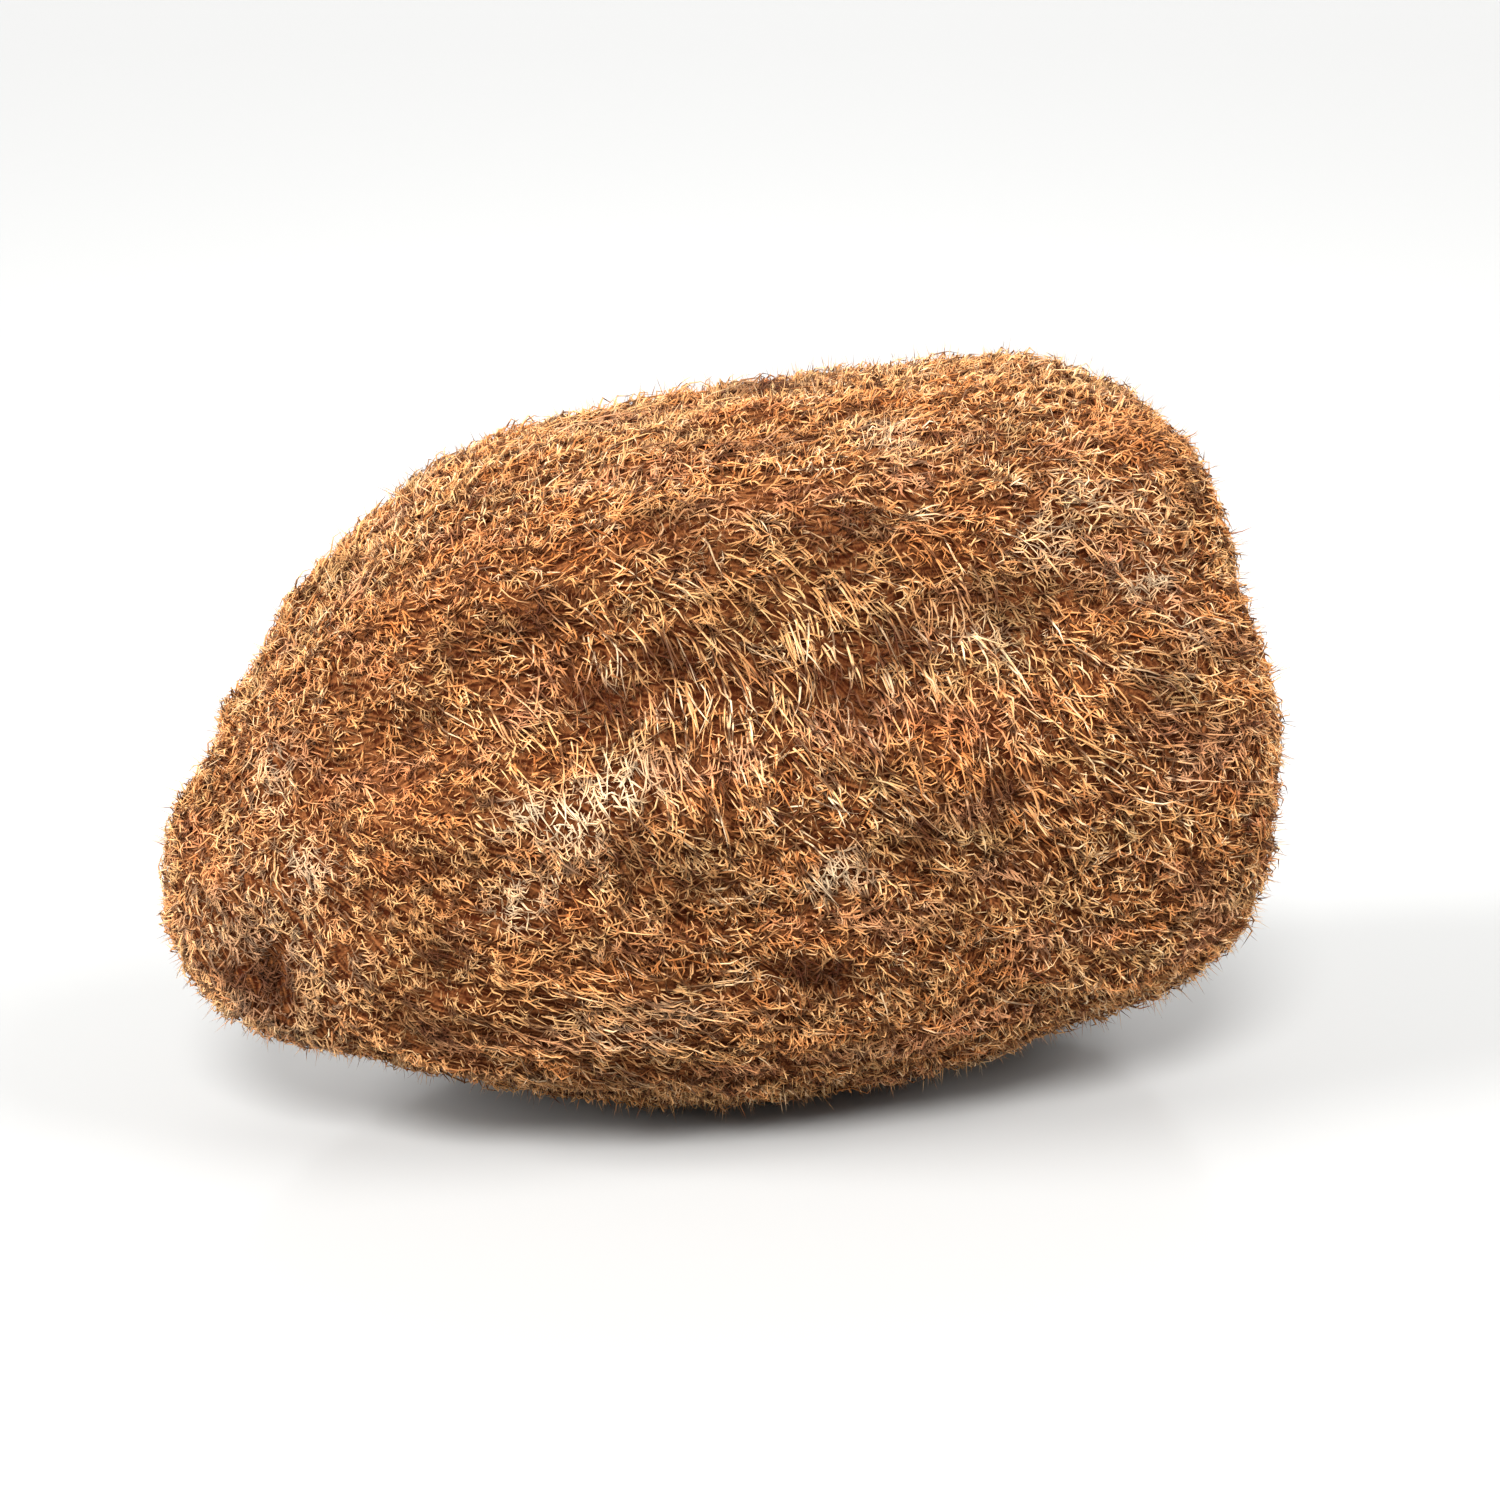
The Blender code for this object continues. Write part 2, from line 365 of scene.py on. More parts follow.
class CoatSettings(bpy.types.PropertyGroup):
    strand_relief: length_property("Strand relief", "Height of the strands in the mat's own surface", 0.5)
    mat_depth: length_property("Mat depth", "How far the mat lies below the fibres that cover it", 0.8)
    # Painted shade: the colour of the mat down in its pits.
    painted_shade: colour_property("Deep", "The mat in its pits", "3A1606")
    shallow: colour_property("Shallow", "The mat where it comes near the surface", "86522E")
    finest_level: IntProperty(name="Finest level", description="Times the mat's ball is divided", default=7)


class FibreSettings(bpy.types.PropertyGroup):
    diameter: length_property("Diameter", "Coir strand near its root, scaled for each layer", 0.44)
    amount: FloatProperty(name="Amount", description="Scales the number of fibres", default=1.0, min=0.0)
    # Painted shade: the colour of fibres down in the gaps of the coat and in its dark patches.
    painted_shade: colour_property("Deep", "Fibres in the dark gaps of the coat", "421A06")
    # Also the colour of the painted shade at the fibres' roots.
    dark: colour_property("Dark", "The darkest fibres", "6E3612")
    russet: colour_property("Russet", "Dark fibres in the light", "C27E46")
    tan: colour_property("Tan", "Most of the fibres", "F0BA7C")
    # Also the colour of the painted highlight on the pale patches.
    straw: colour_property("Straw", "The palest fibres", "F8DCB4")
    grey: colour_property("Grey", "Weathered fibres", "B89664")
    orange: colour_property("Orange", "Freshly torn fibres", "D07C3C")
    rosy: colour_property("Rosy", "Fibres stained by the shell", "C88A66")


class StudioSettings(bpy.types.PropertyGroup):
    azimuth: FloatProperty(
        name="Azimuth", description="Where the camera stands",
        default=math.radians(-20.0), subtype="ANGLE",
    )
    elevation: FloatProperty(
        name="Elevation", description="How far the camera looks down",
        default=math.radians(15.0), subtype="ANGLE",
    )
    distance: length_property("Distance", "From the camera to the nut", 492.0)
    floor: colour_property("Floor", "The pale table", "AEAEAD")


def bell(distance, width):
    return math.exp(-((distance / width) ** 2))


def turn_between(angle, other):
    """The smaller turn between two angles, with its sign."""
    return (angle - other + 180.0) % 360.0 - 180.0


def along_share(distance):
    """0 at the nose and 1 at the butt, on a scale that makes a round end a straight line."""
    return math.acos(1.0 - 2.0 * min(max(distance / LENGTH, 0.0), 1.0)) / math.pi


def outline_at(share, column):
    """One outline of the nut, as a smooth curve through its stations."""
    knots = [(0.0, 0.0)]
    knots += [(along_share(row[0]), row[column]) for row in STATIONS]
    knots += [(1.0, 0.0)]
    last = len(knots) - 2
    index = next((i for i in range(last + 1) if share <= knots[i + 1][0]), last)

    def slope(i):
        low, high = max(i - 1, 0), min(i + 1, len(knots) - 1)
        return (knots[high][1] - knots[low][1]) / (knots[high][0] - knots[low][0])

    (start, first), (end, second) = knots[index], knots[index + 1]
    span = end - start
    t = (share - start) / span
    return (
        first * (1 + 2 * t) * (1 - t) ** 2
        + slope(index) * span * t * (1 - t) ** 2
        + second * t * t * (3 - 2 * t)
        - slope(index + 1) * span * t * t * (1 - t)
    )


def section_radius(share, angle):
    """Distance from the axis to the plain coat, before its ridges."""
    across, up = math.cos(math.radians(angle)), math.sin(math.radians(angle))
    height = outline_at(share, 1 if up >= 0 else 2)
    width = outline_at(share, 3)
    if min(height, width) <= 0:
        return 0.0
    n = SQUARENESS
    return (abs(across / width) ** n + abs(up / height) ** n) ** (-1.0 / n)


def ridge_rise(distance, angle):
    """How far the ridges, the furrows and the eye pit raise the coat."""
    share = distance / LENGTH
    grown = min(max(share / RIDGE_START - RIDGE_DELAY, 0.0), 1.0)
    rise = 0.0
    for nose_angle, butt_angle, height, width in RIDGES:
        line = nose_angle + (butt_angle - nose_angle) * share
        rise += height * bell(turn_between(angle, line), width) * grown
    pit_at, pit_angle, depth, radius = EYE_PIT
    round_by = math.radians(turn_between(angle, pit_angle)) * EYE_PIT_AT_RADIUS
    return rise - depth * bell(math.hypot(distance - pit_at, round_by), radius)


def place_on_nut(point):
    """Distance from the nose and angle round the axis of a place where the nut lies."""
    own = TO_NUT @ point
    return own.x, math.degrees(math.atan2(own.z, -own.y))


def patch_at(patch, distance, angle):
    """How strongly one patch holds at a place, which is most in its middle."""
    middle, turn, half_length, half_turn, most = patch
    return most * bell(distance - middle, half_length) * bell(turn_between(angle, turn), half_turn)


def coir_lie(point, normal, sweep, gather, nose_reach, stray_size, stray_swept):
    """The lie of the coir at a point of the coat, as a unit vector along its surface."""
    axial = NUT_LENGTHWISE - normal * NUT_LENGTHWISE.dot(normal)
    if axial.length < FACING_ALONG:
        axial = HANGING - normal * HANGING.dot(normal)
    axial.normalize()
    distance, angle = place_on_nut(point)
    swept = patch_at(sweep, distance, angle)
    over_nose = NOSE_TURN * bell(distance, nose_reach)
    drawn_in = 1.0 - patch_at(gather, distance, angle)
    strayed = (STRAY_TURN + stray_swept * swept) * noise.noise(point / stray_size)
    turn = math.radians(LEAST_TURN + drawn_in * (max(swept, over_nose) + strayed))
    return (axial * math.cos(turn) - normal.cross(axial) * math.sin(turn)).normalized()


def streaks(point, lie, width, length, steps):
    """Noise drawn out along the lie of the fibres."""
    total = 0.0
    for step in range(steps):
        along = length * ((step + 0.5) / steps - 0.5)
        total += noise.noise((point + lie * along) / width) / steps
    return total


def frayed(point):
    """The point moved a little by noise, so that edges drawn from it are uneven."""
    spot = point / PATCH_FRAY_SIZE
    return point + PATCH_FRAY * Vector([noise.noise(spot + shift) for shift in FRAY_SHIFTS])


def patch_strength(patches, point):
    """How much a point belongs to a set of patches, with uneven edges: 1 or more is fully."""
    distance, angle = place_on_nut(frayed(point))
    return max(patch_at(patch, distance, angle) for patch in patches)


def nut_form(direction):
    """Where the coat lies in a direction from the middle of the nut, without its lumps."""
    share = math.acos(min(max(-direction.x, -1.0), 1.0)) / math.pi
    distance = LENGTH * (1.0 - math.cos(math.pi * share)) / 2.0
    turned = math.atan2(direction.z, -direction.y)
    angle = math.degrees(turned) % 360.0
    radius = section_radius(share, angle)
    radius += ridge_rise(distance, angle) * min(radius / RIDGE_FADE, 1.0)
    return LIE @ Vector((distance, -radius * math.cos(turned), radius * math.sin(turned)))


def coat_mesh(name, level, depth, strand_height):
    """The coat as a mesh, sunk by depth, with its strands raised by strand_height, all in millimetres."""
    ball = bmesh.new()
    bmesh.ops.create_icosphere(ball, subdivisions=level, radius=1.0)
    for vertex in ball.verts:
        vertex.co = nut_form(vertex.co.normalized())
    ball.normal_update()
    lies = [coir_lie(v.co, v.normal, **STRAND_LIE) for v in ball.verts]
    naps = [coir_lie(v.co, v.normal, **FELT_LIE) for v in ball.verts]
    rises = []
    for vertex, lie in zip(ball.verts, lies):
        rise = MAT_LUMP_HEIGHT * noise.noise(vertex.co / MAT_LUMP)
        rise += CLUMP_HEIGHT * streaks(vertex.co, lie, CLUMP_WIDTH, CLUMP_LENGTH, CLUMP_STEPS)
        if strand_height:
            strands = streaks(vertex.co, lie, STRAND_WIDTH, STRAND_LENGTH, STRAND_STEPS)
            rise += strand_height * STRAND_GAIN * strands
        rises.append(rise * min(max(vertex.co.z / REST_FADE, 0.0), 1.0) - depth)
    for vertex, rise in zip(ball.verts, rises):
        vertex.co += vertex.normal * rise
        vertex.co.z = max(vertex.co.z, 0.0)
    mesh = bpy.data.meshes.new(name)
    ball.to_mesh(mesh)
    ball.free()
    mesh.shade_smooth()
    store(mesh, "lie", lies)
    store(mesh, "nap", naps)
    for title, patches in PATCHES.items():
        store(mesh, title, [patch_strength(patches, v.co) for v in mesh.vertices])
    mesh.transform(Matrix.Scale(MM, 4))
    return mesh


def store(mesh, title, values):
    """Keeps one value or vector for each vertex under a name."""
    if isinstance(values[0], Vector):
        attribute = mesh.attributes.new(title, "FLOAT_VECTOR", "POINT")
        attribute.data.foreach_set("vector", [part for value in values for part in value])
    else:
        attribute = mesh.attributes.new(title, "FLOAT", "POINT")
        attribute.data.foreach_set("value", values)


def add_node(tree, kind, links=(), **settings):
    """Adds a node with its settings, and gives each input a value, a socket or a node's own output."""
    node = tree.nodes.new(kind)
    for title, value in settings.items():
        setattr(node, title, value)
    for title, value in dict(links).items():
        if isinstance(value, bpy.types.Node):
            value = next(socket for socket in value.outputs if socket.enabled)
        if isinstance(value, bpy.types.NodeSocket):
            tree.links.new(value, node.inputs[title])
        else:
            node.inputs[title].default_value = value
    return node


FLOAT, INT, GEOMETRY = "NodeSocketFloat", "NodeSocketInt", "NodeSocketGeometry"
# What every tree that grows fibres is given, with its own defaults in metres and radians.
GROW_INPUTS = (
    ("Points along", INT, 6),
    ("Shortest", FLOAT, 0.005),
    ("Longest", FLOAT, 0.010),
    ("Diameter", FLOAT, 0.0005),
    ("Stray", FLOAT, 0.5),
    ("Curl", FLOAT, 1.0),
    ("Clump size", FLOAT, 0.004),
    ("Clump stray", FLOAT, 0.5),
    ("Sink", FLOAT, 0.0004),
    ("Arch", FLOAT, 0.0005),
    ("Lift", FLOAT, 0.0005),
    ("Pit size", FLOAT, 0.0018),
    ("Pit depth", FLOAT, 0.0006),
    ("Darkest", FLOAT, 0.0),
    ("Palest", FLOAT, 1.0),
    ("Seed", INT, 0),
    ("Material", "NodeSocketMaterial", None),
)


def new_tree(title, inputs):
    tree = bpy.data.node_groups.new(title, "GeometryNodeTree")
    tree.interface.new_socket("Geometry", in_out="OUTPUT", socket_type=GEOMETRY)
    for name, kind, default in inputs:
        socket = tree.interface.new_socket(name, in_out="INPUT", socket_type=kind)
        if default is not None:
            socket.default_value = default
    return tree


def grow_tree():
    """Grows one tapering fibre from each root point, laid along the coat."""
    tree = new_tree("Grow fibres", (("Roots", GEOMETRY, None), ("Coat", GEOMETRY, None)) + GROW_INPUTS)
    add = partial(add_node, tree)
    given = add("NodeGroupInput").outputs

    # A root keeps its number, its place and its clump's own draw while its points are moved.
    here = add("GeometryNodeInputPosition")
    clump_scale = add("ShaderNodeMath", {0: 1.0, 1: given["Clump size"]}, operation="DIVIDE")
    clump = add("ShaderNodeTexNoise", {"Vector": here, "Scale": clump_scale, "Detail": 0.0})
    held = add("GeometryNodeInputNamedAttribute", {"Name": "packed"}, data_type="FLOAT")
    links = {"Mesh": given["Coat"], "Value": held}
    packed_here = add("GeometryNodeSampleNearestSurface", links, data_type="FLOAT")
    points = given["Roots"]
    for title, kind, value in (
        ("fibre", "INT", add("GeometryNodeInputIndex")),
        ("root", "FLOAT_VECTOR", here),
        ("clump", "FLOAT_VECTOR", clump.outputs["Color"]),
        ("packed", "FLOAT", packed_here),
    ):
        links = {"Geometry": points, "Name": title, "Value": value}
        points = add("GeometryNodeStoreNamedAttribute", links, data_type=kind)
    links = {"Geometry": points, "Amount": given["Points along"]}
    copies = add("GeometryNodeDuplicateElements", links, domain="POINT")
    last = add("ShaderNodeMath", {0: given["Points along"], 1: 1.0}, operation="SUBTRACT")
    share = add("ShaderNodeMath", {0: copies.outputs["Duplicate Index"], 1: last}, operation="DIVIDE")
    links = {"Geometry": copies, "Name": "along", "Value": share}
    points = add("GeometryNodeStoreNamedAttribute", links, data_type="FLOAT")
    kept = {}
    for title, kind in (
        ("fibre", "INT"),
        ("root", "FLOAT_VECTOR"),
        ("clump", "FLOAT_VECTOR"),
        ("heading", "FLOAT_VECTOR"),
        ("facing", "FLOAT_VECTOR"),
        ("along", "FLOAT"),
        ("packed", "FLOAT"),
    ):
        kept[title] = add("GeometryNodeInputNamedAttribute", {"Name": title}, data_type=kind)
    along = kept["along"]
    drawn = {}
    for step, (title, low, high) in enumerate(
        (
            ("length", given["Shortest"], given["Longest"]),
            ("stray", -1.0, 1.0),
            ("curl", -1.0, 1.0),
            ("arch", 0.2, 1.0),
            ("lift", -0.2, 1.0),
            ("tint", given["Darkest"], given["Palest"]),
            ("radius", *FIBRE_RADIUS),
        )
    ):
        seed = add("ShaderNodeMath", {0: given["Seed"], 1: float(step)}, operation="ADD")
        links = {2: low, 3: high, "ID": kept["fibre"], "Seed": seed}
        drawn[title] = add("FunctionNodeRandomValue", links, data_type="FLOAT")
    mood = add("ShaderNodeVectorMath", {0: kept["clump"], 1: (0.5, 0.5, 0.5)}, operation="SUBTRACT")
    mood = add("ShaderNodeSeparateXYZ", {"Vector": mood}).outputs

    # The fibre runs as an arc in the coat's surface: bent is half the angle it has turned through so far.
    stray = add("ShaderNodeMath", {0: given["Stray"], 1: drawn["stray"]}, operation="MULTIPLY")
    stray = add("ShaderNodeMath", {0: given["Clump stray"], 1: mood["X"], 2: stray}, operation="MULTIPLY_ADD")
    curl = add("ShaderNodeMath", {0: given["Curl"], 1: drawn["curl"]}, operation="MULTIPLY")
    bent = add("ShaderNodeMath", {0: curl, 1: along, 2: LEAST_BEND}, operation="MULTIPLY_ADD")
    chord = add("ShaderNodeMath", {0: bent}, operation="SINE")
    chord = add("ShaderNodeMath", {0: chord, 1: bent}, operation="DIVIDE")
    shorter, flatter, finer = (
        add("ShaderNodeMath", {0: kept["packed"], 1: -less, 2: 1.0}, operation="MULTIPLY_ADD")
        for less in (PACKED_SHORTER, PACKED_FLATTER, PACKED_FINER)
    )
    reach = drawn["length"]
    for part in (along, shorter, chord):
        reach = add("ShaderNodeMath", {0: reach, 1: part}, operation="MULTIPLY")
    turn = add("ShaderNodeMath", {0: stray, 1: bent}, operation="ADD")
    links = {"Vector": kept["heading"], "Axis": kept["facing"], "Angle": turn}
    heading = add("ShaderNodeVectorRotate", links, rotation_type="AXIS_ANGLE")
    laid = add("ShaderNodeVectorMath", {0: heading, 1: reach, 2: kept["root"]}, operation="MULTIPLY_ADD")

    # Then each point is put on the coat and raised from it.
    links = {"Target": given["Coat"], "Source Position": laid}
    on_coat = add("GeometryNodeProximity", links, target_element="FACES")
    links = {"Mesh": given["Coat"], "Value": add("GeometryNodeInputNormal"), "Sample Position": laid}
    outward = add("GeometryNodeSampleNearestSurface", links, data_type="FLOAT_VECTOR")
    half_round = add("ShaderNodeMath", {0: along, 1: math.pi}, operation="MULTIPLY")
    half_round = add("ShaderNodeMath", {0: half_round}, operation="SINE")
    arch = given["Arch"]
    for part in (drawn["arch"], half_round):
        arch = add("ShaderNodeMath", {0: arch, 1: part}, operation="MULTIPLY")
    squared = add("ShaderNodeMath", {0: along, 1: along}, operation="MULTIPLY")
    lift = add("ShaderNodeMath", {0: given["Lift"], 1: drawn["lift"]}, operation="MULTIPLY")
    rise = add("ShaderNodeMath", {0: lift, 1: squared, 2: arch}, operation="MULTIPLY_ADD")
    swell = add("ShaderNodeMath", {0: mood["Y"], 1: CLUMP_SWELL, 2: 1.0}, operation="MULTIPLY_ADD")
    for part in (swell, flatter):
        rise = add("ShaderNodeMath", {0: rise, 1: part}, operation="MULTIPLY")
    free = add("ShaderNodeMath", {0: 1.0, 1: along}, operation="SUBTRACT")
    sunk = free
    for part in (free, given["Sink"]):
        sunk = add("ShaderNodeMath", {0: sunk, 1: part}, operation="MULTIPLY")
    rise = add("ShaderNodeMath", {0: rise, 1: sunk}, operation="SUBTRACT")
    # Fibres dip into the same pits, so that the felt is tufted and not smooth.
    pit_scale = add("ShaderNodeMath", {0: 1.0, 1: given["Pit size"]}, operation="DIVIDE")
    pits = add("ShaderNodeTexNoise", {"Vector": laid, "Scale": pit_scale, "Detail": 0.0})
    shallowest, deepest = PIT_NOISE
    links = {"Value": pits, "From Min": shallowest, "From Max": deepest, "To Max": given["Pit depth"]}
    rise = add("ShaderNodeMath", {0: rise, 1: add("ShaderNodeMapRange", links)}, operation="SUBTRACT")
    links = {0: outward, 1: rise, 2: on_coat.outputs["Position"]}
    place = add("ShaderNodeVectorMath", links, operation="MULTIPLY_ADD")
    # Nothing dips into the table. X and Y are never as low as -1 m, so they stay as they are.
    lowest = add("ShaderNodeMath", {0: given["Diameter"], 1: POINT_CLEAR}, operation="MULTIPLY")
    lowest = add("ShaderNodeCombineXYZ", {"X": -1.0, "Y": -1.0, "Z": lowest})
    place = add("ShaderNodeVectorMath", {0: place, 1: lowest}, operation="MAXIMUM")
    points = add("GeometryNodeSetPosition", {"Geometry": points, "Position": place})
    for title in ("pale", "grey", "russet", "dark"):
        held = add("GeometryNodeInputNamedAttribute", {"Name": title}, data_type="FLOAT")
        links = {"Mesh": given["Coat"], "Value": held, "Sample Position": laid}
        sampled = add("GeometryNodeSampleNearestSurface", links, data_type="FLOAT")
        links = {"Geometry": points, "Name": title, "Value": sampled}
        points = add("GeometryNodeStoreNamedAttribute", links, data_type="FLOAT")
    tint = add("ShaderNodeMath", {0: mood["Z"], 1: CLUMP_TINT, 2: drawn["tint"]}, operation="MULTIPLY_ADD")
    evener = add("ShaderNodeMath", {0: kept["packed"], 1: PACKED_EVENER}, operation="MULTIPLY")
    tint = add("ShaderNodeMix", {0: evener, 2: tint, 3: 0.5}, data_type="FLOAT")
    links = {"Geometry": points, "Name": "tint", "Value": tint}
    points = add("GeometryNodeStoreNamedAttribute", links, data_type="FLOAT")

    links = {"Points": points, "Curve Group ID": kept["fibre"], "Weight": along}
    curves = add("GeometryNodePointsToCurves", links)
    taper = add("ShaderNodeMath", {0: squared, 1: -TIP_TAPER, 2: 1.0}, operation="MULTIPLY_ADD")
    radius = given["Diameter"]
    for part in (drawn["radius"], taper, finer):
        radius = add("ShaderNodeMath", {0: radius, 1: part}, operation="MULTIPLY")
    profile = add("GeometryNodeCurvePrimitiveCircle", {"Resolution": 3, "Radius": 1.0})
    links = {"Curve": curves, "Profile Curve": profile, "Scale": radius, "Fill Caps": True}
    fibres = add("GeometryNodeCurveToMesh", links)
    # The last ring of each fibre closes to a point.
    links = {"Geometry": fibres, "Distance": TIP_MERGE * MM}
    fibres = add("GeometryNodeMergeByDistance", links, mode="CONNECTED")
    fibres = add("GeometryNodeSetShadeSmooth", {"Geometry": fibres})
    fibres = add("GeometryNodeRealizeInstances", {"Geometry": fibres})
    fibres = add("GeometryNodeSetMaterial", {"Geometry": fibres, "Material": given["Material"]})
    add("NodeGroupOutput", {"Geometry": fibres})
    return tree


def hand_out_fibres(add, grow, points, coat, given):
    """Grows a fibre from each point over a coat, as the result of the tree that these are in."""
    links = {name: given[name] for name, _, _ in GROW_INPUTS}
    grown = add("GeometryNodeGroup", {"Roots": points, "Coat": coat, **links}, node_tree=grow)
    add("NodeGroupOutput", {"Geometry": grown})


def scatter_tree(grow):
    """Scatters roots over the coat that the modifier sits on, with gaps, and grows a fibre from each."""
    own = (
        ("Coat", GEOMETRY, None),
        ("Heading", "NodeSocketString", "nap"),
        ("Density", FLOAT, 100000.0),
        ("Share on felt", FLOAT, 1.0),
        ("Share where combed", FLOAT, 1.0),
        ("Gap size", FLOAT, 0.0024),
        ("Kept in gaps", FLOAT, 0.3),
    )
    tree = new_tree("Scatter fibres", own + GROW_INPUTS)
    add = partial(add_node, tree)
    given = add("NodeGroupInput").outputs
    combed_here = add("GeometryNodeInputNamedAttribute", {"Name": "combed"}, data_type="FLOAT")
    links = {"Value": combed_here, "To Min": given["Share on felt"], "To Max": given["Share where combed"]}
    share = add("ShaderNodeMapRange", links)
    here = add("GeometryNodeInputPosition")
    height = add("ShaderNodeSeparateXYZ", {"Vector": here}).outputs["Z"]
    off_floor = add("ShaderNodeMath", {0: height, 1: ROOT_CLEAR * MM}, operation="GREATER_THAN")
    packed_here = add("GeometryNodeInputNamedAttribute", {"Name": "packed"}, data_type="FLOAT")
    denser = add("ShaderNodeMath", {0: packed_here, 1: PACKED_DENSER, 2: 1.0}, operation="MULTIPLY_ADD")
    density = share
    for part in (given["Density"], denser, off_floor):
        density = add("ShaderNodeMath", {0: density, 1: part}, operation="MULTIPLY")
    links = {"Mesh": given["Coat"], "Density": density, "Seed": given["Seed"]}
    roots = add("GeometryNodeDistributePointsOnFaces", links)

    gap_scale = add("ShaderNodeMath", {0: 1.0, 1: given["Gap size"]}, operation="DIVIDE")
    gaps = add("ShaderNodeTexNoise", {"Vector": here, "Scale": gap_scale, "Detail": 0.0})
    thin, full = GAP_NOISE
    links = {"Value": gaps, "From Min": thin, "From Max": full, "To Min": given["Kept in gaps"]}
    kept = add("ShaderNodeMapRange", links)
    chance = add("FunctionNodeRandomValue", {2: 0.0, 3: 1.0, "Seed": given["Seed"]}, data_type="FLOAT")
    dropped = add("ShaderNodeMath", {0: chance, 1: kept}, operation="GREATER_THAN")
    heading = add("GeometryNodeInputNamedAttribute", {"Name": given["Heading"]}, data_type="FLOAT_VECTOR")
    points = roots
    for title, value in (("facing", roots.outputs["Normal"]), ("heading", heading)):
        links = {"Geometry": points, "Name": title, "Value": value}
        points = add("GeometryNodeStoreNamedAttribute", links, data_type="FLOAT_VECTOR")
    points = add("GeometryNodeDeleteGeometry", {"Geometry": points, "Selection": dropped}, domain="POINT")
    hand_out_fibres(add, grow, points, given["Coat"], given)
    return tree


def lock_tree(grow):
    """Grows a fibre from each point of the mesh that the modifier sits on, laid along a coat object."""
    own = (("Roots", GEOMETRY, None), ("Coat", "NodeSocketObject", None))
    tree = new_tree("Lay locks", own + GROW_INPUTS)
    add = partial(add_node, tree)
    given = add("NodeGroupInput").outputs
    coat = add("GeometryNodeObjectInfo", {"Object": given["Coat"]})
    points = add("GeometryNodeMeshToPoints", {"Mesh": given["Roots"]})
    hand_out_fibres(add, grow, points, coat.outputs["Geometry"], given)
    return tree


def lock_directions(count):
    """Evenly spread directions over a ball."""
    golden = math.pi * (3.0 - math.sqrt(5.0))
    for index in range(count):
        along = 1.0 - 2.0 * (index + 0.5) / count
        ring = math.sqrt(1.0 - along * along)
        yield Vector((along, ring * math.cos(index * golden), ring * math.sin(index * golden)))


def lock_roots(coat):
    """Root points of the strands in every lock: the same locks as the solid's, by the same draws."""
    draw = random.Random(TUFT_SEED)
    strand = random.Random(TUFT_SEED + 1)
    corners = [vertex.co / MM for vertex in coat.vertices]
    surface = BVHTree.FromPolygons(corners, [face.vertices for face in coat.polygons])
    middle = LIE @ Vector((LENGTH * 0.5, 0.0, TUFT_MIDDLE))
    places, headings, facings = [], [], []
    for direction in lock_directions(TUFT_COUNT):
        root, normal, _, _ = surface.ray_cast(middle, direction)
        length = draw.uniform(*TUFT_LENGTH)
        width = draw.uniform(*TUFT_WIDTH)
        # The solid's lock draws its lift here, so this one draws it too and both stay in step.
        draw.uniform(*TUFT_LIFT)
        stray = Matrix.Rotation(math.radians(draw.uniform(-1, 1) * TUFT_SPREAD), 3, normal)
        lie = stray @ coir_lie(root, normal, **STRAND_LIE)
        side = normal.cross(lie).normalized()
        if root.z < TUFT_CLEAR or (root + lie * length).z < TUFT_CLEAR:
            continue
        for _ in range(STRANDS_IN_LOCK):
            across = strand.uniform(-LOCK_SPREAD, LOCK_SPREAD) * width
            start = strand.uniform(*LOCK_START) * length
            place, facing, _, _ = surface.find_nearest(root + side * across + lie * start)
            places.append(place)
            headings.append((lie * length - side * across * LOCK_SPREAD).normalized())
            facings.append(facing)
    mesh = bpy.data.meshes.new("lock roots")
    mesh.from_pydata(places, [], [])
    store(mesh, "heading", headings)
    store(mesh, "facing", facings)
    mesh.transform(Matrix.Scale(MM, 4))
    return mesh


def fill_inputs(modifier, values):
    """Sets a geometry modifier's inputs, given by name, through their sockets' identifiers."""
    for item in modifier.node_group.interface.items_tree:
        if item.item_type == "SOCKET" and item.in_out == "INPUT" and item.name in values:
            modifier[item.identifier] = values[item.name]


# What the fibres' material reads, then what Blender itself keeps on a mesh.
KEPT_ATTRIBUTES = (
    "tint", "along", "heading", "pale", "grey", "russet", "dark",
    "sharp_face", "material_index",
)


def grown_piece(name, host_mesh, tree, values):
    """Runs a tree on a host mesh, and keeps what it makes as a plain mesh piece."""
    piece = bpy.data.objects.new(name, host_mesh.copy())
    bpy.context.scene.collection.objects.link(piece)
    modifier = piece.modifiers.new("fibres", "NODES")
    modifier.node_group = tree
    fill_inputs(modifier, values)
    evaluated = piece.evaluated_get(bpy.context.evaluated_depsgraph_get())
    mesh = bpy.data.meshes.new_from_object(evaluated)
    piece.modifiers.remove(modifier)
    host = piece.data
    piece.data = mesh
    mesh.name = name
    bpy.data.meshes.remove(host)
    for title in [attribute.name for attribute in mesh.attributes]:
        attribute = mesh.attributes[title]
        if title not in KEPT_ATTRIBUTES and not attribute.is_required and not attribute.is_internal:
            mesh.attributes.remove(attribute)
    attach(piece, BODY)


def new_material(name, roughness, ior, specular):
    """A material with its finish set, and its shader."""
    material = bpy.data.materials.new(name)
    material.use_nodes = True
    shader = material.node_tree.nodes["Principled BSDF"]
    shader.inputs["Roughness"].default_value = roughness
    shader.inputs["IOR"].default_value = ior
    shader.inputs["Specular IOR Level"].default_value = specular
    return material, shader


